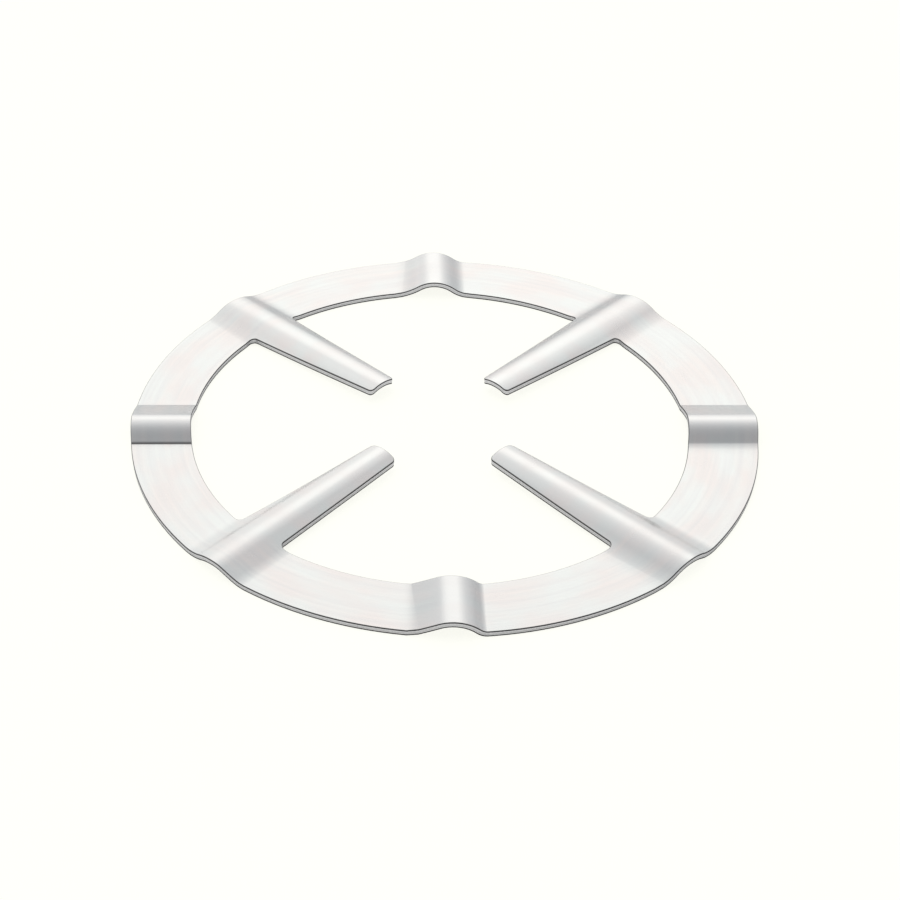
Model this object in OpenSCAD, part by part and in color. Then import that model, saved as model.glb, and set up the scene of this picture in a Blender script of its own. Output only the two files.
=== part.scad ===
// Gas hob reducer ring: one pressed sheet-metal part that lets a small pot stand on a large burner.
// A flat ring carries four tapering fingers that point at the centre. A soft, wide ridge runs the
// whole length of each finger and out through the rim, and a short, crisper rib crosses the ring
// halfway between two fingers. The flat underside rests on the hob, and the pot stands on the ribs,
// whose crests are a little higher than the finger ridges.

/* [Ring] */
// Outer diameter of the ring
ring_od = 130; // [110:1:160]
// Width of the flat ring between its outer and inner edges
band_w = 13.4; // [11:0.1:18]
// Thickness of the sheet, the same everywhere
sheet_t = 1.25; // [0.8:0.05:1.6]

/* [Fingers] */
// Number of fingers, with a short rib halfway between each two
finger_count = 4; // [3:1:5]
// Diameter of the circle left open between the finger tips
tip_circle_d = 33.5; // [26:0.5:50]
// Width of a finger at its tip
tip_w = 6.7; // [4:0.1:9]
// Width of a finger where it leaves the ring
root_w = 11.4; // [10:0.1:16]
// Radius of the two corners at a tip
tip_corner_r = 1; // [0.4:0.1:1.8]
// Radius of the fillets where a finger joins the ring
root_fillet_r = 1.2; // [0.5:0.1:3]

/* [Finger ridges] */
// Height of a finger ridge above the flat sheet
ridge_h = 2.2; // [1.2:0.1:3]
// Radius over the top of a finger ridge
ridge_crest_r = 8.4; // [6:0.1:11]
// Radius of the long hollow where a finger ridge runs out into the flat
ridge_foot_r = 9; // [4:0.1:10]

/* [Ribs] */
// Height of a short rib above the flat sheet
rib_h = 2.5; // [1.5:0.1:3.5]
// Radius over the top of a rib
rib_crest_r = 8.6; // [7:0.1:12]
// Radius of the hollow where a rib runs out into the flat
rib_foot_r = 3; // [1:0.1:5]

/* [Hidden] */

$fn = 128;
land = 0.6;                              // flat strip on both sides of a ridge, in the ring's own faces
eps = 0.5;                               // how far a cutter runs past what it cuts
nip = 0.002;                             // how far a blend arc runs into the faces that it blends

ring_r = ring_od / 2;
inner_r = ring_r - band_w;
tip_r = tip_circle_d / 2;
pitch = 360 / finger_count;              // angle from one finger to the next
first_finger = pitch / 2;                // a short rib lies on +X

// A ridge section is [height, crest radius, foot radius]: a crest arc and two foot arcs that meet in
// a common tangent.
finger_ridge = [ridge_h, ridge_crest_r, ridge_foot_r];
short_rib = [rib_h, rib_crest_r, rib_foot_r];
function flank_angle(s) = acos(1 - s[0] / (s[1] + s[2]));
function half_w(s) = (s[1] + s[2]) * sin(flank_angle(s));

// Plan of a finger edge: a straight line from the tip corner to the inner edge of the ring.
root_x = sqrt(inner_r * inner_r - root_w * root_w / 4);
edge_dir = [root_x - tip_r, (root_w - tip_w) / 2];
edge_len = norm(edge_dir);
edge_u = edge_dir / edge_len;            // along the edge, outwards
edge_n = [-edge_u[1], edge_u[0]];        // across the edge, into the open bay
tip_corner = [tip_r, tip_w / 2];

// Root fillet: touches the finger edge and the inner edge of the ring from inside the bay.
fillet_off = tip_corner * edge_n + root_fillet_r;
fillet_run = sqrt(pow(inner_r - root_fillet_r, 2) - fillet_off * fillet_off);
fillet_c = fillet_run * edge_u + fillet_off * edge_n;
fillet_on_edge = fillet_c - root_fillet_r * edge_n;
fillet_on_ring = fillet_c / norm(fillet_c) * (inner_r + eps);

// Tip corner: touches the tip face and the finger edge from inside the finger.
corner_off = tip_corner * edge_n - tip_corner_r;
corner_x = tip_r + tip_corner_r;
corner_c = [corner_x, (corner_off - corner_x * edge_n[0]) / edge_n[1]];
corner_on_edge = corner_c + tip_corner_r * edge_n;

// Everything below one ridge line, down to depth d: a crest arc, two hollow foot arcs and the flat
// strips beside them. The arcs meet where the line between their centres crosses them.
module ridge_mound(s, d, strip) {
    a = flank_angle(s);
    w = half_w(s);
    meet = [s[1] * sin(a), s[0] - s[1] * (1 - cos(a))];
    difference() {
        union() {
            translate([-w - strip, -d]) square([2 * (w + strip), d]);
            polygon([[-w, -d / 2], [w, -d / 2], [w, s[2] / 2], meet, [0, s[0] / 2],
                [-meet[0], meet[1]], [-w, s[2] / 2]]);
            intersection() {
                translate([0, s[0] - s[1]]) circle(s[1]);
                translate([-s[1], 0]) square([2 * s[1], s[1]]);
            }
        }
        for (side = [-1, 1]) translate([side * w, s[2]]) circle(s[2] + nip);
    }
}

// The sheet bent over the ridge: both faces have the same arc centres, so it keeps its thickness.
module ridge_section(s) {
    difference() {
        translate([0, sheet_t]) ridge_mound(s, sheet_t, land);
        ridge_mound([s[0], s[1] - sheet_t, s[2] + sheet_t], eps, 0);
    }
}

// Plan of one finger on +X, from the tip into the ring, with rounded tip corners and root fillets.
module finger_plan() {
    polygon([
        [tip_r, -corner_c[1]], [corner_c[0], -corner_c[1]], [corner_on_edge[0], -corner_on_edge[1]],
        [root_x, -root_w / 2], [inner_r + eps, -root_w / 2], [inner_r + eps, root_w / 2],
        [root_x, root_w / 2], corner_on_edge, corner_c, [tip_r, corner_c[1]]]);
    for (side = [0, 1]) mirror([0, side]) {
        translate(corner_c) circle(tip_corner_r + nip);
        difference() {
            polygon([[root_x, root_w / 2 - eps], fillet_on_edge, fillet_c, fillet_on_ring,
                [inner_r + eps, root_w / 2 - eps]]);
            translate(fillet_c) circle(root_fillet_r + nip);
        }
    }
}

// Plan of the whole blank.
module blank_plan() {
    intersection() {
        union() {
            difference() {
                circle(ring_r);
                circle(inner_r);
            }
            for (i = [0 : finger_count - 1]) rotate(first_finger + i * pitch) finger_plan();
        }
        circle(ring_r);
    }
}

// The lane that a ridge on +X takes out of the flat sheet, from radius r0 out past the rim.
module lane(s, r0) {
    w = half_w(s) + land / 2;
    translate([r0, -w]) square([ring_r + eps - r0, 2 * w]);
}

// One ridge, pressed in the blank from radius r0 out through the rim.
module ridge(s, r0, turn) {
    intersection() {
        rotate(turn) translate([r0, 0, 0]) rotate([90, 0, 90])
            linear_extrude(ring_r + eps - r0) ridge_section(s);
        translate([0, 0, -eps]) linear_extrude(sheet_t + s[0] + 2 * eps) blank_plan();
    }
}

module reducer_ring() {
    rib_start = inner_r - root_fillet_r;
    finger_start = tip_r - eps;
    color("silver") union() {
        // flat parts of the ring
        linear_extrude(sheet_t) difference() {
            blank_plan();
            for (i = [0 : finger_count - 1]) {
                rotate(i * pitch) lane(short_rib, rib_start);
                rotate(first_finger + i * pitch) lane(finger_ridge, finger_start);
            }
        }
        // short ribs and finger ridges
        for (i = [0 : finger_count - 1]) {
            ridge(short_rib, rib_start, i * pitch);
            ridge(finger_ridge, finger_start, first_finger + i * pitch);
        }
    }
}

reducer_ring();
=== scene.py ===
# %% [markdown]
# # A gas hob reducer ring in pressed stainless steel
# The real thing is one stamping: a flat ring with four tapering fingers that point at the middle,
# pressed so that a rounded ridge runs along each finger and a short rib crosses the ring between
# two fingers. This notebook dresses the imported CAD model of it. First the model is loaded. It stays
# as it is and gives the sizes.

import math

import bpy
import numpy as np
from mathutils import Matrix, Vector


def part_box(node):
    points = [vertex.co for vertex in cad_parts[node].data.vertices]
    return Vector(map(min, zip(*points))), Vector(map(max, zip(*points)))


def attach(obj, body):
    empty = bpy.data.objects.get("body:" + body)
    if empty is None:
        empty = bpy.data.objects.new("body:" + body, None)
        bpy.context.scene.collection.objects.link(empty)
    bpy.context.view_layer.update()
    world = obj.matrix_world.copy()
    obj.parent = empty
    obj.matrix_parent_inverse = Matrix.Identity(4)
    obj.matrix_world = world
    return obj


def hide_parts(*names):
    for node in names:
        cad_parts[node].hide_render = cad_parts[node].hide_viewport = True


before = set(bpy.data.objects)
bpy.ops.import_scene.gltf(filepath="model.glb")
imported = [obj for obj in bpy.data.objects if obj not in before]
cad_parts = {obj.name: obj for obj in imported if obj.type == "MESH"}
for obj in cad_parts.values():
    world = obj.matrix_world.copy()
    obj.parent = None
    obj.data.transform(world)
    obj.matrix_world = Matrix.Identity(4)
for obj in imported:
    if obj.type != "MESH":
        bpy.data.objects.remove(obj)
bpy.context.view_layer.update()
scene = bpy.context.scene
scene.view_settings.view_transform = "Standard"

MM = 0.001
ring_low, ring_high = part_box("reducer_ring")
RIM_R = (ring_high.x - ring_low.x) / 2 / MM
CREST_Z = ring_high.z / MM
print(f"ring: rim radius {RIM_R:.2f} mm, crest height {CREST_Z:.2f} mm")

# %% [markdown]
# ## Sizes of the stamping
# All lengths are in millimetres, and the mesh is turned into metres at the end. The rim and the
# height come from the model, and the other sizes repeat the ones that the model was drawn with.

# %% Sizes
BAND_W = 13.4          # width of the flat ring
SHEET_T = 1.25         # sheet thickness
FINGERS = 4
TIP_R = 16.75          # from the middle to the finger tips
TIP_W, ROOT_W = 6.7, 11.4
TIP_CORNER_R = 1.0
ROOT_FILLET_R = 1.2
INNER_R = RIM_R - BAND_W
HALF_SECTOR = math.pi / FINGERS

# Sections: height over the flat sheet, radius over the crest, radius of the hollow foot.
FINGER_RIDGE = (2.2, 8.4, 9.0)
SHORT_RIB = (CREST_Z - SHEET_T, 8.6, 3.0)

# %% [markdown]
# ## The section of a ridge
# A press bends the sheet over a round punch, so both faces of a ridge are arcs about the same
# centres, and the sheet keeps its thickness. On each side a crest arc and a hollow foot arc meet in
# a common tangent, and where the press left a straight flank, a line joins them. A function of the
# distance from the ridge's own line gives the height exactly, which is better than bending a flat
# grid by eye. The long finger ridges have a wide foot and look soft, and the short ribs have a
# tight one and look crisp.


# %% Height of the two faces
def flank(section):
    """Steepest slope: where the two arcs meet, or that of the straight flank, a fourth value."""
    meet = math.acos(1 - section[0] / (section[1] + section[2]))
    return min(meet, math.radians(section[3])) if len(section) > 3 else meet


def crest_edge(section):
    """Distance from the middle of a ridge at which its crest arc ends."""
    return section[1] * math.sin(flank(section))


def half_width(section):
    """Crest arc, straight flank (none where the two arcs meet) and foot arc, in plan."""
    slope = flank(section)
    drop = section[0] - (section[1] + section[2]) * (1 - math.cos(slope))
    return (section[1] + section[2]) * math.sin(slope) + drop / math.tan(slope)


def under(section, depth=SHEET_T):
    """The same bend on the underside of the sheet, or at another depth in it."""
    return section[0], section[1] - depth, section[2] + depth, *section[3:]


def ridge_height(distance, section):
    """Height of a section over its flat, at a distance from the middle of the ridge."""
    height, crest_r, foot_r = section[:3]
    y, slope = np.abs(distance), flank(section)
    crest = height - crest_r + np.sqrt(np.maximum(crest_r ** 2 - y ** 2, 0))
    line = (height - crest_r * (1 - math.cos(slope))
            - (y - crest_edge(section)) * math.tan(slope))
    foot_y = np.clip(half_width(section) - y, 0, foot_r * math.sin(slope))
    foot = foot_r - np.sqrt(foot_r ** 2 - foot_y ** 2)
    foot_from = half_width(section) - foot_r * math.sin(slope)
    return np.where(y < crest_edge(section), crest, np.where(y < foot_from, line, foot))


def face_heights(points):
    """Top and bottom face of the sheet at plan points of one sector, whose finger lies on +X."""
    x, y = points[:, 0], points[:, 1]
    rib = x * math.sin(HALF_SECTOR) - np.abs(y) * math.cos(HALF_SECTOR)
    top = np.maximum(ridge_height(y, FINGER_RIDGE), ridge_height(rib, SHORT_RIB))
    bottom = np.maximum(ridge_height(y, under(FINGER_RIDGE)), ridge_height(rib, under(SHORT_RIB)))
    return SHEET_T + top, bottom


for name, section in (("finger ridge", FINGER_RIDGE), ("short rib", SHORT_RIB)):
    print(f"{name}: {2 * half_width(section):.2f} mm wide, "
          f"flanks up to {math.degrees(flank(section)):.1f} degrees")


# %% [markdown]
# ## One sector in plan
# A quarter of the ring, from the middle of one short rib to the middle of the next, holds one
# finger. Its surface is a grid of quads: rows run round the ring, and columns run along the ridges,
# so that highlights on the ridges stay clean. The same grid can be made with every cut edge moved
# in by a small distance. Stacking such outlines gives the rounded and sheared edges later.

# %% Columns of the grid
CREST_STEPS, FOOT_STEPS, FLAT_STEPS = 16, 20, 16
ROOT_STEPS = 10        # from the crest arc to the side of the finger
SKIRT_STEPS = 6        # from there to the foot of the finger's ridge
BAND_ROWS = 8
FILLET_STEPS, EDGE_STEPS, CORNER_STEPS = 8, 20, 8


def lane(section, stops, steps):
    """Distances of the columns from the middle of a ridge to its foot, some at the stops."""
    stops = [0, crest_edge(section), *stops, half_width(section)]
    parts = [np.linspace(a, b, n + 1)[1:] for a, b, n in zip(stops[:-1], stops[1:], steps)]
    return np.concatenate([[0.0], *parts])


def plan_lines(inset):
    """Straight edge, fillet and tip corner of a finger, with the cut edges moved in by inset."""
    root = np.array([math.sqrt(INNER_R ** 2 - ROOT_W ** 2 / 4), ROOT_W / 2])
    tip = np.array([TIP_R, TIP_W / 2])
    along = (root - tip) / np.linalg.norm(root - tip)
    out = np.array([-along[1], along[0]])
    edge_off = tip @ out - inset
    inner_r, fillet_r, corner_r = INNER_R + inset, ROOT_FILLET_R + inset, TIP_CORNER_R - inset
    off = edge_off + fillet_r
    fillet = math.sqrt((inner_r - fillet_r) ** 2 - off ** 2) * along + off * out
    corner_x = TIP_R + TIP_CORNER_R
    corner = np.array([corner_x, (edge_off - corner_r - corner_x * out[0]) / out[1]])
    return inner_r, along, out, fillet, fillet_r, corner, corner_r


def sweep(centre, radius, start, stop, steps):
    """Points on an arc between two directions, the second and the last included."""
    a, b = math.atan2(start[1], start[0]), math.atan2(stop[1], stop[0])
    turn = (b - a + math.pi) % (2 * math.pi) - math.pi
    angles = a + turn * np.arange(1, steps + 1) / steps
    return centre + radius * np.stack([np.cos(angles), np.sin(angles)], -1)


def finger_edge(inset):
    """Points down one side of a finger: root fillet, straight edge and tip corner."""
    inner_r, along, out, fillet, fillet_r, corner, corner_r = plan_lines(inset)
    start = inner_r * fillet / np.linalg.norm(fillet)
    arc = sweep(fillet, fillet_r, fillet, -out, FILLET_STEPS)
    end = corner + corner_r * out
    line = arc[-1] + np.linspace(0, 1, EDGE_STEPS + 1)[1:, None] * (end - arc[-1])
    tip = sweep(corner, corner_r, out, np.array([-1.0, 0.0]), CORNER_STEPS)
    return np.concatenate([start[None], arc, line, tip])


def band_angles(radius, root_y):
    """Angles of the columns at one radius, from the finger's middle to the rib's middle."""
    finger = lane(FINGER_RIDGE, [root_y], [CREST_STEPS, ROOT_STEPS, SKIRT_STEPS])
    rib = lane(SHORT_RIB, [], [CREST_STEPS, FOOT_STEPS])
    finger, rib = np.arcsin(finger / radius), HALF_SECTOR - np.arcsin(rib / radius)
    flat = np.linspace(finger[-1], rib[-1], FLAT_STEPS + 1)[1:-1]
    return np.concatenate([finger, flat, rib[::-1]])


FINGER_COLUMN = CREST_STEPS + ROOT_STEPS     # the column that ends in the root fillet
HALF_COLUMNS = len(band_angles(RIM_R, ROOT_W / 2))
COLUMNS = 2 * HALF_COLUMNS - 1
MIDDLE = HALF_COLUMNS - 1
LEFT, RIGHT = MIDDLE - FINGER_COLUMN, MIDDLE + FINGER_COLUMN
FINGER_ROWS = FILLET_STEPS + EDGE_STEPS + CORNER_STEPS
print(f"grid: {COLUMNS} columns, {BAND_ROWS} rows on the band, {FINGER_ROWS} on the finger")


# %% Points of the grid
def sector_plan(inset):
    """All plan points of a sector: the band's rows from the inside out, then the finger's rows."""
    edge = finger_edge(inset)
    inner_r, outer_r = INNER_R + inset, RIM_R - inset
    points = []
    for radius in np.linspace(inner_r, outer_r, BAND_ROWS + 1):
        half = band_angles(radius, edge[0, 1])
        angles = np.concatenate([-half[:0:-1], half])
        points.append(radius * np.stack([np.cos(angles), np.sin(angles)], -1))
    across = points[0][LEFT:RIGHT + 1, 1] / edge[0, 1]
    straight_from = FILLET_STEPS + EDGE_STEPS
    for k in range(1, FINGER_ROWS + 1):
        radius = np.linalg.norm(edge[k])
        y = across * edge[k, 1]
        bulge = 1.0
        if k > straight_from:
            bulge = (edge[k, 0] - edge[-1, 0]) / (edge[straight_from, 0] - edge[-1, 0])
        x = edge[k, 0] + bulge * (np.sqrt(radius ** 2 - y ** 2) - edge[k, 0])
        points.append(np.stack([x, y], -1))
    return np.concatenate(points)


def band_index(row, column):
    return row * COLUMNS + column


def finger_index(row, column):
    """Row 0 of a finger is the band's inner row."""
    if row == 0:
        return band_index(0, column)
    return (BAND_ROWS + 1) * COLUMNS + (row - 1) * (RIGHT - LEFT + 1) + column - LEFT


# %% Quads of one face, and the points along its cut edges
face_quads = [
    (band_index(i, c), band_index(i + 1, c), band_index(i + 1, c + 1), band_index(i, c + 1))
    for i in range(BAND_ROWS) for c in range(COLUMNS - 1)]
face_quads += [
    (finger_index(k + 1, c), finger_index(k, c), finger_index(k, c + 1), finger_index(k + 1, c + 1))
    for k in range(FINGER_ROWS) for c in range(LEFT, RIGHT)]
rim_chain = [band_index(BAND_ROWS, c) for c in range(COLUMNS)]
bay_chain = ([band_index(0, c) for c in range(LEFT)]
             + [finger_index(k, LEFT) for k in range(FINGER_ROWS)]
             + [finger_index(FINGER_ROWS, c) for c in range(LEFT, RIGHT + 1)]
             + [finger_index(k, RIGHT) for k in range(FINGER_ROWS - 1, -1, -1)]
             + [band_index(0, c) for c in range(RIGHT + 1, COLUMNS)])
print(f"one face of a sector: {len(face_quads)} quads, "
      f"{len(rim_chain)} points on the rim and {len(bay_chain)} on the opening")

# %% [markdown]
# ## Sheared edges
# A blanking punch leaves four zones on the cut: a rolled-over top edge, a smooth band that the
# punch has rubbed, a rougher band where the metal tore, and a burr line at the bottom. Each zone is
# one or more levels of the stack below. A level says how far the outline moves in, where it lies
# between the two faces, how much of the cut's finish it has and how dark its painted shade line is.
# The levels are real geometry.

# %% Levels of the cut edge, from the top face to the bottom face
ROLL_R = 0.14          # rounding under the top face
# Darkness of the painted shade line on each step of the rounding
ROLL_SHADE = (0.15, 0.7, 0.95, 0.95, 0.95)    # how dark the line is on each step of the rounding
ROLL_STEPS = len(ROLL_SHADE) - 1
BURR_R = 0.08          # break at the bottom edge
BURR_STEPS = 2
TEAR_IN = 0.05         # how far the torn band stands back
GUARD = 0.05           # narrow strip that keeps the flat faces flat up to the rounding

# The last value of each level is the darkness of its painted shade line.
levels = []            # inset, anchor, how far from the anchor, share of the cut's finish, line
for step, dark in enumerate(ROLL_SHADE):
    turn = math.pi / 2 * step / ROLL_STEPS
    levels.append((ROLL_R * (1 - math.sin(turn)), "top", ROLL_R * (1 - math.cos(turn)),
                   step / ROLL_STEPS, dark))
levels += [
    (0.0, "wall", 0.06, 1.0, 0.95),
    (0.0, "wall", 0.13, 1.0, 0.0),
    (0.0, "wall", 0.46, 1.0, 0.0),
    (TEAR_IN * 0.6, "wall", 0.52, 0.9, 0.25),
    (TEAR_IN, "wall", 0.58, 0.6, 0.0),
    (TEAR_IN, "wall", 0.75, 0.6, 0.0),
    (TEAR_IN, "wall", 0.84, 0.8, 1.0),
]
for step in range(BURR_STEPS + 1):
    turn = math.pi / 2 * step / BURR_STEPS
    fade = 1.0 - step / BURR_STEPS
    levels.append((TEAR_IN + BURR_R * (1 - math.cos(turn)), "bottom",
                   BURR_R * (1 - math.sin(turn)), fade, fade))
TOP_INSET, BOTTOM_INSET = ROLL_R + GUARD, TEAR_IN + BURR_R + GUARD
print(f"cut edge: {len(levels)} levels")


# %% Points and quads of the sector
def level_points(inset, anchor, amount):
    """Points of both cut edges at one level.

    The amount is a depth under the top face, a height over the bottom one, or a share of the wall.
    """
    plan = sector_plan(inset)[rim_chain + bay_chain]
    top, bottom = face_heights(plan)
    if anchor == "top":
        z = top - amount
    elif anchor == "bottom":
        z = bottom + amount
    else:
        high, low = top - ROLL_R, bottom + BURR_R
        z = high + amount * (low - high)
    return np.column_stack([plan, z])


def sector_arrays():
    """Points, quads and the two edge attributes of a sector, in millimetres."""
    top_plan, bottom_plan = sector_plan(TOP_INSET), sector_plan(BOTTOM_INSET)
    count = len(top_plan)
    points = [np.column_stack([top_plan, face_heights(top_plan)[0]])]
    # The second list holds the darkness of the painted shade lines.
    cut, line = [np.zeros(count)], [np.zeros(count)]
    quads = list(face_quads)
    rims, bays = [rim_chain], [bay_chain]
    start = count
    for inset, anchor, amount, cut_here, shade_here in levels:
        ring = level_points(inset, anchor, amount)
        points.append(ring)
        cut.append(np.full(len(ring), cut_here))
        line.append(np.full(len(ring), shade_here))
        rims.append(list(range(start, start + len(rim_chain))))
        bays.append(list(range(start + len(rim_chain), start + len(ring))))
        start += len(ring)
    points.append(np.column_stack([bottom_plan, face_heights(bottom_plan)[1]]))
    cut.append(np.zeros(count))
    line.append(np.zeros(count))
    rims.append([start + i for i in rim_chain])
    bays.append([start + i for i in bay_chain])
    quads += [tuple(start + i for i in quad[::-1]) for quad in face_quads]
    for upper, lower in zip(rims[:-1], rims[1:]):
        quads += [(lower[i], lower[i + 1], upper[i + 1], upper[i]) for i in range(len(upper) - 1)]
    for upper, lower in zip(bays[:-1], bays[1:]):
        quads += [(upper[i], upper[i + 1], lower[i + 1], lower[i]) for i in range(len(upper) - 1)]
    return np.concatenate(points), quads, np.concatenate(cut), np.concatenate(line)


# %% The sector as a mesh
points, quads, cut, line = sector_arrays()
sector = bpy.data.meshes.new("sector")
sector.from_pydata((points * MM).tolist(), [], quads)
# The second attribute is painted shade: dark lines along the corners of the cut edges.
for name, values in (("cut_edge", cut), ("painted_edge_shade", line)):
    attribute = sector.attributes.new(name, "FLOAT", "POINT")
    attribute.data.foreach_set("value", values.astype(np.float32))
sector.shade_smooth()
print(f"sector: {len(points)} points, {len(quads)} quads")

# %% [markdown]
# ## Satin stainless steel
# Stainless sheet is a bright metal with a fine grain. The finish is one Principled shader: fully
# metallic, a light grey that is a little warmer here and cooler there, and a roughness that changes
# with it. Faint streaks follow the ring, as on a brushed face, and the crests are brighter, because
# the press has polished them. The cut edges are rougher, and painted shade draws a dark line along
# their corners. All patterns read Object coordinates or attributes of the mesh, so they stay on the
# steel from every side.


# %% Node helpers
def add(tree, kind, at, **sockets):
    """A node at a place in the tree, with values for its sockets; _ stands for a space."""
    node = tree.nodes.new(kind)
    node.location = at
    for name, value in sockets.items():
        node.inputs[name.replace("_", " ")].default_value = value
    return node


def set_or_link(tree, socket, value):
    """Give a socket a value, or link it to another node's output."""
    if isinstance(value, bpy.types.NodeSocket):
        tree.links.new(value, socket)
    elif value is not None:
        socket.default_value = value


def math_node(tree, operation, at, a, b=None):
    node = add(tree, "ShaderNodeMath", at)
    node.operation = operation
    set_or_link(tree, node.inputs[0], a)
    set_or_link(tree, node.inputs[1], b)
    return node.outputs[0]


def mix_colour(tree, at, factor, a, b):
    node = add(tree, "ShaderNodeMix", at)
    node.data_type = "RGBA"
    factor_in, a_in, b_in = 0, 6, 7          # the sockets of a Mix node that mixes colours
    for index, value in ((factor_in, factor), (a_in, a), (b_in, b)):
        set_or_link(tree, node.inputs[index], value)
    return node.outputs[2]


def mesh_attribute(tree, at, name):
    node = add(tree, "ShaderNodeAttribute", at)
    node.attribute_name = name
    return node.outputs["Fac"]


def map_range(tree, at, value, low, high, to_low=0.0, to_high=1.0):
    node = add(tree, "ShaderNodeMapRange", at,
               From_Min=low, From_Max=high, To_Min=to_low, To_Max=to_high)
    tree.links.new(value, node.inputs["Value"])
    return node.outputs["Result"]


# %% Steel: places for the patterns
steel = bpy.data.materials.new("satin_stainless")
steel.use_nodes = True
tree = steel.node_tree
shader = tree.nodes["Principled BSDF"]
shader.inputs["Metallic"].default_value = 1.0

# A pattern that runs round the ring is drawn on distance from the middle, in millimetres, and
# angle. The first factor says how much the angle counts: a small one makes long streaks.
STREAK_TURN = 1.6
CLOUD_TURN = 18.0      # times as much for the clouds, which are rounder

place = add(tree, "ShaderNodeTexCoord", (-1900, 0)).outputs["Object"]
split = add(tree, "ShaderNodeSeparateXYZ", (-1750, 0))
tree.links.new(place, split.inputs[0])
x_squared = math_node(tree, "MULTIPLY", (-1600, 250), split.outputs[0], split.outputs[0])
y_squared = math_node(tree, "MULTIPLY", (-1600, 100), split.outputs[1], split.outputs[1])
reach_squared = math_node(tree, "ADD", (-1450, 200), x_squared, y_squared)
reach_m = math_node(tree, "SQRT", (-1300, 200), reach_squared)
reach_mm = math_node(tree, "MULTIPLY", (-1150, 200), reach_m, 1 / MM)
angle = math_node(tree, "ARCTAN2", (-1450, -50), split.outputs[1], split.outputs[0])
round_ring = add(tree, "ShaderNodeCombineXYZ", (-1050, 100))
tree.links.new(reach_mm, round_ring.inputs[0])
tree.links.new(math_node(tree, "MULTIPLY", (-1150, 50), angle, STREAK_TURN), round_ring.inputs[1])
for_clouds = add(tree, "ShaderNodeVectorMath", (-1000, -50))
for_clouds.operation = "MULTIPLY"
for_clouds.inputs[1].default_value = (1.0, CLOUD_TURN, 1.0)
tree.links.new(round_ring.outputs[0], for_clouds.inputs[0])

# %% Steel: patterns
streaks = add(tree, "ShaderNodeTexNoise", (-900, 250), Scale=0.9, Detail=3.0, Roughness=0.55)
tree.links.new(round_ring.outputs[0], streaks.inputs["Vector"])
clouds = add(tree, "ShaderNodeTexNoise", (-900, 0), Scale=0.16, Detail=2.0, Roughness=0.5)
tree.links.new(for_clouds.outputs[0], clouds.inputs["Vector"])
grain = add(tree, "ShaderNodeTexNoise", (-900, -250), Scale=2600.0, Detail=2.0, Roughness=0.6)
tree.links.new(place, grain.inputs["Vector"])
cut_edge = mesh_attribute(tree, (-900, -500), "cut_edge")
# Painted shade: dark lines along the cut corners and in the tightest feet
painted_edge_shade = mesh_attribute(tree, (-900, -700), "painted_edge_shade")
burnished = mesh_attribute(tree, (-900, -900), "burnish")

# %% Steel: colour
COOL_FACE = (0.915, 0.94, 0.925, 1)
WARM_FACE = (0.96, 0.912, 0.89, 1)
STREAK_COLOUR = (0.845, 0.845, 0.855, 1)
BURNISHED = (0.97, 0.972, 0.965, 1)
CUT_COLOUR = (0.92, 0.915, 0.91, 1)
# The dark colour below is for the painted shade lines at the cut corners and in tight feet.
PAINTED_SHADE_COLOUR = (0.02, 0.019, 0.019, 1)
STREAKS_FROM, STREAKS_FULL = 44.0, 54.0      # the brushed streaks fade in from the fingers outwards
STREAK_SHARE = 0.5

warmth = map_range(tree, (-700, 400), clouds.outputs["Fac"], 0.38, 0.62)
tint = mix_colour(tree, (-500, 400), warmth, COOL_FACE, WARM_FACE)
on_band = map_range(tree, (-900, 500), reach_mm, STREAKS_FROM, STREAKS_FULL, 0.0, STREAK_SHARE)
brushing = map_range(tree, (-500, 250), streaks.outputs["Fac"], 0.35, 0.7)
brushed = math_node(tree, "MULTIPLY", (-400, 500), brushing, on_band)
streaked = mix_colour(tree, (-300, 400), brushed, tint, STREAK_COLOUR)
pressed = mix_colour(tree, (-200, 400), burnished, streaked, BURNISHED)
with_cut = mix_colour(tree, (-100, 300), cut_edge, pressed, CUT_COLOUR)
# The painted shade lines go on top of everything else.
with_painted_shade = mix_colour(tree, (100, 300), painted_edge_shade, with_cut, PAINTED_SHADE_COLOUR)
tree.links.new(with_painted_shade, shader.inputs["Base Color"])

# %% Steel: roughness and bump
SMOOTHEST, ROUGHEST = 0.19, 0.25
GRAIN_ROUGHNESS = 0.04
CUT_ROUGHNESS = 0.2
GRAIN_DEPTH = 0.03     # in millimetres

cloudy = map_range(tree, (-500, 50), clouds.outputs["Fac"], 0.3, 0.7, SMOOTHEST, ROUGHEST)
grainy = math_node(tree, "MULTIPLY", (-500, -100), grain.outputs["Fac"], GRAIN_ROUGHNESS)
face_rough = math_node(tree, "ADD", (-300, 0), cloudy, grainy)
cut_rough = math_node(tree, "MULTIPLY", (-300, -200), cut_edge, CUT_ROUGHNESS)
rough = math_node(tree, "ADD", (-100, 0), face_rough, cut_rough)
tree.links.new(rough, shader.inputs["Roughness"])

bump = add(tree, "ShaderNodeBump", (-100, -300), Strength=0.25, Distance=GRAIN_DEPTH * MM)
tree.links.new(grain.outputs["Fac"], bump.inputs["Height"])
tree.links.new(bump.outputs["Normal"], shader.inputs["Normal"])
print("material:", steel.name, len(tree.nodes), "nodes")

# %% [markdown]
# ## Repeat the sector round the ring
# The four quarters of the stamping are alike, so one Geometry Nodes tree puts the sector on a point
# at the middle for each finger, turns each copy, welds the seams and gives the steel. Changing the
# Fingers input alone would leave gaps, because the sector's own width follows the number of
# fingers, so both take it from the same value.

# %% Inputs of the tree
turner = bpy.data.node_groups.new("sectors_round_ring", "GeometryNodeTree")


def tree_input(name, kind):
    return turner.interface.new_socket(name, in_out="INPUT", socket_type="NodeSocket" + kind)


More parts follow.
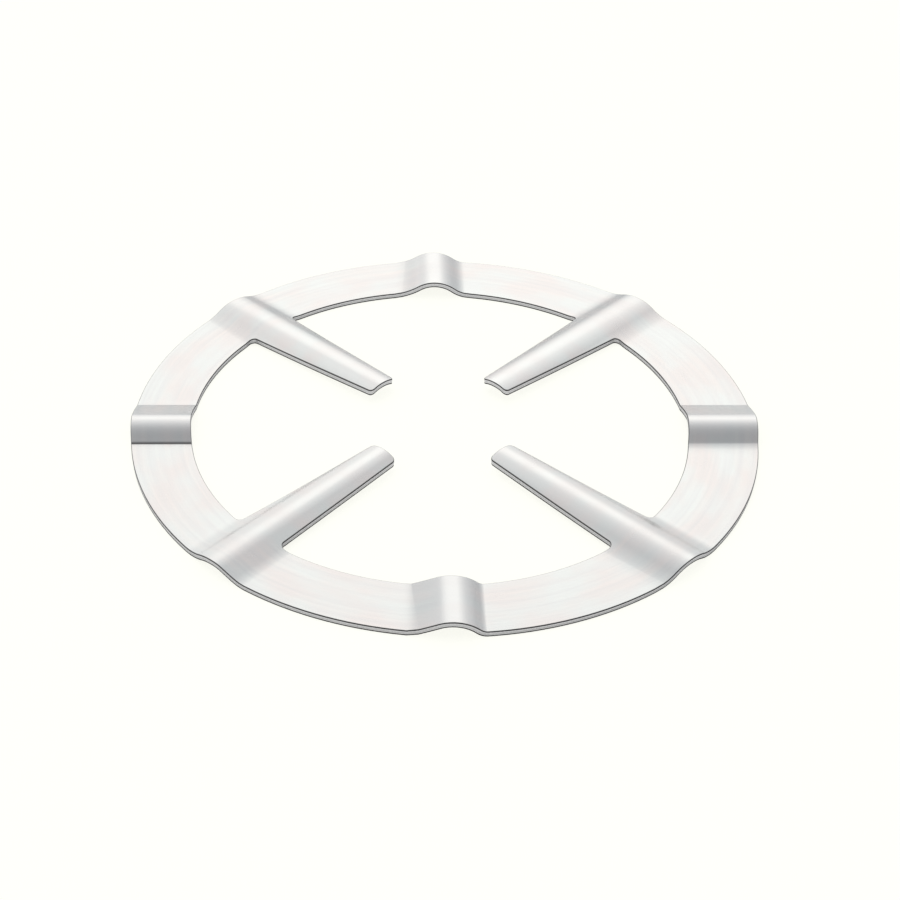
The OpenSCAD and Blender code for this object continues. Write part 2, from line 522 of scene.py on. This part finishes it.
tree_input("Geometry", "Geometry")
count_in = tree_input("Fingers", "Int")
first_in = tree_input("First finger", "Float")
weld_in = tree_input("Weld distance", "Float")
steel_in = tree_input("Steel", "Material")
turner.interface.new_socket("Geometry", in_out="OUTPUT", socket_type="NodeSocketGeometry")
entry = add(turner, "NodeGroupInput", (-900, 100))
leave = add(turner, "NodeGroupOutput", (800, 100))
link = turner.links.new

# %% Copies round the middle
spots = add(turner, "GeometryNodePoints", (-200, 200))
link(entry.outputs["Fingers"], spots.inputs["Count"])
copies = add(turner, "GeometryNodeInstanceOnPoints", (0, 100))
link(spots.outputs[0], copies.inputs["Points"])
link(entry.outputs["Geometry"], copies.inputs["Instance"])

number = add(turner, "GeometryNodeInputIndex", (-700, -100)).outputs[0]
step_angle = math_node(turner, "DIVIDE", (-500, -200), 2 * math.pi, entry.outputs["Fingers"])
turn_by = math_node(turner, "MULTIPLY_ADD", (-300, -100), number, step_angle)
link(entry.outputs["First finger"], turn_by.node.inputs[2])
about_z = add(turner, "ShaderNodeCombineXYZ", (-150, -100))
link(turn_by, about_z.inputs["Z"])
to_rotation = add(turner, "FunctionNodeEulerToRotation", (-20, -100))
link(about_z.outputs[0], to_rotation.inputs[0])
link(to_rotation.outputs[0], copies.inputs["Rotation"])

# %% One welded mesh in steel
realized = add(turner, "GeometryNodeRealizeInstances", (200, 100))
link(copies.outputs[0], realized.inputs[0])
weld = add(turner, "GeometryNodeMergeByDistance", (400, 100))
link(realized.outputs[0], weld.inputs["Geometry"])
link(entry.outputs["Weld distance"], weld.inputs["Distance"])
finish = add(turner, "GeometryNodeSetMaterial", (600, 100))
link(weld.outputs[0], finish.inputs["Geometry"])
link(entry.outputs["Steel"], finish.inputs["Material"])
link(finish.outputs[0], leave.inputs[0])

# %% Turn the tree's result into a mesh
WELD_DISTANCE = 0.002  # in millimetres

maker = bpy.data.objects.new("sector_maker", sector)
scene.collection.objects.link(maker)
modifier = maker.modifiers.new("sectors", "NODES")
modifier.node_group = turner
modifier[count_in.identifier] = FINGERS
modifier[first_in.identifier] = HALF_SECTOR
modifier[weld_in.identifier] = WELD_DISTANCE * MM
modifier[steel_in.identifier] = steel
graph = bpy.context.evaluated_depsgraph_get()
ring_mesh = bpy.data.meshes.new_from_object(maker.evaluated_get(graph))
ring_mesh.name = "pressed_ring"
maker.modifiers.remove(modifier)
bpy.data.objects.remove(maker)
print(f"even ring: {len(ring_mesh.vertices)} points")

# %% [markdown]
# ## No two ridges alike
# A real stamping isn't perfectly even. The finger ridges are highest towards the middle of the ring
# and fade to the rim, and one of them runs a little askew. A short rib can have one tight foot and
# one soft foot, a straight flank, and its crest off its own line. The table below holds these small
# differences, and each vertex moves up or down by them: a vertex on the top face by the change of
# the top face, one on the underside by the change of the underside, and one on the cut edge by its
# share of both. The opening was also punched a little off the middle, so the band is narrower on
# one side.

# %% Small differences between the ridges
# From the short rib on +X counterclockwise: height inside, height at the rim, (crest radius, foot
# radius and, where the flank is straight, its slope in degrees) on the clockwise side and on the
# other side, and how far the crest lies off the ring's own ray inside and at the rim.
SOFT = (8.4, 9.0)
LONG_FLANK = (6.5, 0.8, 19.0)
PRESSED = [
    (2.50, 2.5, (7.4, 2.8), LONG_FLANK, -1.5, -1.5),
    (2.45, 1.8, SOFT, SOFT, 0.8, 0.6),
    (2.50, 2.5, (8.0, 5.5), (7.5, 11.0), 0.8, 0.8),
    (2.45, 1.6, SOFT, SOFT, 0.8, 0.6),
    (2.50, 2.5, LONG_FLANK, (7.0, 0.4), 1.2, 1.2),
    (2.45, 1.7, SOFT, (5.5, 6.5, 24.5), -0.8, 0.6),
    (2.50, 2.5, (7.5, 2.0, 22.2), (7.8, 2.2), -0.9, -0.9),
    (2.45, 1.9, SOFT, SOFT, -0.8, -1.1),
]
OPENING_OFF = -1.1     # how far the opening and the fingers lie off the middle, along X


def ray_places(x, y, index):
    """Distances of plan points along and across the ring's ray with this number."""
    turn = index * HALF_SECTOR
    along = x * math.cos(turn) + y * math.sin(turn)
    return along, y * math.cos(turn) - x * math.sin(turn)


def pressed_heights(x, y, table, depth=0.0):
    """Height over the flat at plan points of the whole ring; depth is how far under the top face."""
    height = np.zeros(len(x))
    for index, (inside, rim, right, left, off_inside, off_rim) in enumerate(table):
        along, across = ray_places(x, y, index)
        start = TIP_R if index % 2 else INNER_R
        share = np.clip((along - start) / (RIM_R - start), 0, 1)
        across = across - off_inside - (off_rim - off_inside) * share
        sides = [ridge_height(across, under((inside, *side), depth)) for side in (right, left)]
        fade = 1 + share * (rim / inside - 1)
        height = np.maximum(height, np.where(along > 0, fade * np.where(across < 0, *sides), 0))
    return height


# %% Move the vertices
EVEN = [(section[0], section[0], section[1:], section[1:], 0.0, 0.0)
        for _ in range(FINGERS) for section in (SHORT_RIB, FINGER_RIDGE)]


def both_faces(at, table):
    """Heights of the top face and the underside over their flats, at every vertex."""
    return [pressed_heights(at[:, 0], at[:, 1], table, depth) for depth in (0.0, SHEET_T)]


at = np.empty(3 * len(ring_mesh.vertices))
ring_mesh.vertices.foreach_get("co", at)
at = at.reshape(-1, 3) / MM
top_was, low_was = both_faces(at, EVEN)
share = np.clip((at[:, 2] - low_was) / (SHEET_T + top_was - low_was), 0, 1)
reach = np.hypot(at[:, 0], at[:, 1])
at[:, 0] += OPENING_OFF * np.clip((RIM_R - reach) / BAND_W, 0, 1)
top_now, low_now = both_faces(at, PRESSED)
at[:, 2] = low_now + share * (SHEET_T + top_now - low_now)
ring_mesh.vertices.foreach_set("co", (at * MM).ravel())
ring_mesh.update()
print(f"ridges differ by {(top_now - top_was).min():.2f} to {(top_now - top_was).max():.2f} mm")

# %% [markdown]
# ## Painted shade in tight feet, and polished crests
# A very tight foot gets a painted dark line of shade, where the sheet is folded sharply and light
# doesn't reach. It goes into the attribute that already holds the painted shade lines of the cut
# edges. The crests, where the sheet was drawn over the punch, get an attribute of their own, which
# brightens the steel.

# %% Painted shade in tight feet, and polished crests
# A foot as tight as the first value gets a line of painted shade.
CREASE_R = 0.4         # a foot as tight as this holds a dark line
CREASE_W = 0.22        # how far the line fades to each side, in millimetres
CREASE_SHADE = 0.85
POLISH_FROM, POLISH_FULL = 0.3 * CREST_Z, 0.8 * CREST_Z    # heights over the flat


def crease_shade(x, y):
    """Painted shade: 1 on the line of a tight foot, fading to 0 beside it."""
    dark = np.zeros(len(x))
    for index, (inside, _, right, left, off_inside, _) in enumerate(PRESSED):
        along, across = ray_places(x, y, index)
        for side, way in ((right, -1), (left, 1)):
            if side[1] <= CREASE_R:
                middle = half_width((inside, *side)) - side[1] / 2
                beside = ((across - off_inside) * way - middle) / CREASE_W
                dark = np.maximum(dark, np.where(along > 0, np.exp(-beside ** 2), 0))
    return dark


on_top = share ** 4    # 1 on the top face, next to nothing lower down the cut edge
shade_values = np.empty(len(at))
ring_mesh.attributes["painted_edge_shade"].data.foreach_get("value", shade_values)
# The painted shade of the tight feet joins that of the cut edges.
shade_values = np.maximum(shade_values, CREASE_SHADE * on_top * crease_shade(at[:, 0], at[:, 1]))
ring_mesh.attributes["painted_edge_shade"].data.foreach_set("value", shade_values.astype(np.float32))
polish = np.clip((top_now - POLISH_FROM) / (POLISH_FULL - POLISH_FROM), 0, 1)
burnish = ring_mesh.attributes.new("burnish", "FLOAT", "POINT")
burnish.data.foreach_set("value", polish.astype(np.float32))
print(f"polished: {(polish > 0).mean():.0%} of the points")

# %% The piece
ring = bpy.data.objects.new("pressed_ring", ring_mesh)
scene.collection.objects.link(ring)
edge_uses = {}
for polygon in ring_mesh.polygons:
    for key in polygon.edge_keys:
        edge_uses[key] = edge_uses.get(key, 0) + 1
print(f"pressed_ring: {len(ring_mesh.polygons)} faces, "
      f"{sum(1 for uses in edge_uses.values() if uses != 2)} open edges")

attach(ring, "root")
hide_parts("reducer_ring")

# %% [markdown]
# ## Floor
# The ring lies on a plain pale surface. The camera sees the floor nearly white, with only the
# ring's soft shadow on it. To all other rays it is plain pale paper, so it lights the steel and
# shows in it at the level of real paper.

# %% Floor
FLOOR_SIZE = 4.0       # in metres
FLOOR_GAP = 0.02       # in millimetres; two faces in one plane would flicker

floor_mesh = bpy.data.meshes.new("floor")
half = FLOOR_SIZE / 2
floor_mesh.from_pydata([(-half, -half, 0), (half, -half, 0), (half, half, 0), (-half, half, 0)],
                       [], [(0, 1, 2, 3)])
floor = bpy.data.objects.new("floor", floor_mesh)
floor.location.z = -FLOOR_GAP * MM
scene.collection.objects.link(floor)
print(f"floor: {FLOOR_SIZE} m wide")

# %% Paper of the floor
PAPER = (0.8, 0.8, 0.79, 1)
SHADOW_CATCH = (0.16, 0.16, 0.16, 1)         # the part of the shown floor that takes the shadow
BACKGROUND = (1.0, 1.0, 0.93, 1)

paper = bpy.data.materials.new("white_floor")
paper.use_nodes = True
tree = paper.node_tree
tree.nodes.clear()
out = add(tree, "ShaderNodeOutputMaterial", (600, 0))
plain = add(tree, "ShaderNodeBsdfDiffuse", (0, 150), Color=PAPER)
faint = add(tree, "ShaderNodeBsdfDiffuse", (0, 0), Color=SHADOW_CATCH)
glow = add(tree, "ShaderNodeEmission", (0, -150), Color=BACKGROUND, Strength=0.9)
shown = add(tree, "ShaderNodeAddShader", (200, -50))
tree.links.new(faint.outputs[0], shown.inputs[0])
tree.links.new(glow.outputs[0], shown.inputs[1])
rays = add(tree, "ShaderNodeLightPath", (200, 400))
choose = add(tree, "ShaderNodeMixShader", (400, 0))
tree.links.new(rays.outputs["Is Camera Ray"], choose.inputs[0])
tree.links.new(plain.outputs[0], choose.inputs[1])
tree.links.new(shown.outputs[0], choose.inputs[2])
tree.links.new(choose.outputs[0], out.inputs["Surface"])
floor_mesh.materials.append(paper)
print("material:", paper.name, len(tree.nodes), "nodes")

# %% [markdown]
# ## Studio light
# Metal shows what stands round it, so the light is planned as a room: a bright wall behind the
# ring, which the flat faces and the crests mirror towards the camera, its darker foot, which the
# long far flanks mirror, a grey ceiling that draws the ridges' near flanks, and side walls with a
# screen on each side. The walls in front keep the steel bright from behind. The room is a world of
# soft patches, and one large lamp gives the shadow.

# %% Room
# Each soft patch: azimuth from straight behind the ring to the right, height, radius of its even
# middle, width of its soft border, all in degrees, and how much light it adds or takes away.
ROOM_GREY = 0.88
PATCHES = {
    "back wall": (2, 32, 4, 13, 0.20),
    "foot of the back wall": (2, 0, 6, 7, -0.46),
    "right screen": (44, 16, 5, 28, -0.36),
    "left screen": (-37, 35, 10, 8, -0.24),
    "dark ceiling and front": (162, 63, 5, 75, -0.52),
    "left wall": (-37, 47, 7, 8, 0.16),
    "right wall": (36, 36, 15, 8, 0.10),
    "front wall": (180, 0, 20, 25, 0.24),
    "front left wall": (-125, 0, 20, 25, 0.24),
    "front right wall": (125, 0, 20, 25, 0.24),
}
DARK_TINT, DARK_LEVEL = (0.98, 1.0, 1.035, 1), 0.4         # dark parts of the room look cooler
BRIGHT_TINT, BRIGHT_LEVEL = (1.0, 0.99, 0.97, 1), 1.0

world = bpy.data.worlds.new("studio")
scene.world = world
world.use_nodes = True
tree = world.node_tree
tree.nodes.clear()
out = add(tree, "ShaderNodeOutputWorld", (300, 0))
back = add(tree, "ShaderNodeBackground", (100, 0))
direction = add(tree, "ShaderNodeTexCoord", (-1000, 0)).outputs["Generated"]


def patch_light(name, row):
    """Light that one patch adds to each direction of the room."""
    *angles, amount = PATCHES[name]
    azimuth, height, inner, border = (math.radians(value) for value in angles)
    towards = add(tree, "ShaderNodeVectorMath", (-800, row))
    towards.operation, towards.label = "DOT_PRODUCT", name
    tree.links.new(direction, towards.inputs[0])
    towards.inputs[1].default_value = (math.sin(azimuth) * math.cos(height),
                                       math.cos(azimuth) * math.cos(height), math.sin(height))
    patch = map_range(tree, (-600, row), towards.outputs["Value"],
                      math.cos(inner + border), math.cos(inner), 0.0, amount)
    patch.node.interpolation_type = "SMOOTHSTEP"
    return patch


level = ROOM_GREY
for number, name in enumerate(PATCHES):
    level = math_node(tree, "ADD", (-400, -200 * number), patch_light(name, -200 * number), level)
warmth = map_range(tree, (-250, 0), level, DARK_LEVEL, BRIGHT_LEVEL)
tree.links.new(mix_colour(tree, (-100, 0), warmth, DARK_TINT, BRIGHT_TINT), back.inputs["Color"])
tree.links.new(level, back.inputs["Strength"])
tree.links.new(back.outputs[0], out.inputs["Surface"])
print(f"room: {len(PATCHES)} patches on a grey of {ROOM_GREY}")

# %% Lamp
LAMP_AT = Vector((-0.2, 0.1, 1.2))           # in metres
LAMP_SIZE, LAMP_POWER = 1.0, 4.0             # in metres and watts

light = bpy.data.lights.new("overhead", "AREA")
light.shape, light.size, light.energy = "SQUARE", LAMP_SIZE, LAMP_POWER
lamp = bpy.data.objects.new("overhead", light)
lamp.location = LAMP_AT
lamp.rotation_euler = (-LAMP_AT).to_track_quat("-Z", "Y").to_euler()
lamp.visible_glossy = False
scene.collection.objects.link(lamp)
print(f"lamp: {LAMP_POWER} W over {LAMP_SIZE} m")

# %% [markdown]
# ## Camera
# The camera was fitted to the photograph: it looks down on the ring from the front, a little from
# the left, and is turned by less than two degrees about its own axis.

# %% Camera
LENS, SENSOR = 81.27, 36
CAMERA_AT = Vector((-17.64, -342.97, 250.10)) * MM
CAMERA_AIM = Vector((0.690, -7.271, 0.0)) * MM
ROLL = math.radians(1.738)
NEAREST, FARTHEST = 0.01, 10                 # in metres

lens = bpy.data.cameras.new("camera")
lens.lens, lens.sensor_width = LENS, SENSOR
lens.clip_start, lens.clip_end = NEAREST, FARTHEST
camera = bpy.data.objects.new("camera", lens)
camera.location = CAMERA_AT
turn = (CAMERA_AIM - CAMERA_AT).to_track_quat("-Z", "Y")
camera.rotation_euler = (turn.to_matrix() @ Matrix.Rotation(ROLL, 3, "Z")).to_euler()
scene.collection.objects.link(camera)
scene.camera = camera
print(f"camera: {(CAMERA_AIM - CAMERA_AT).length:.3f} m from the ring")
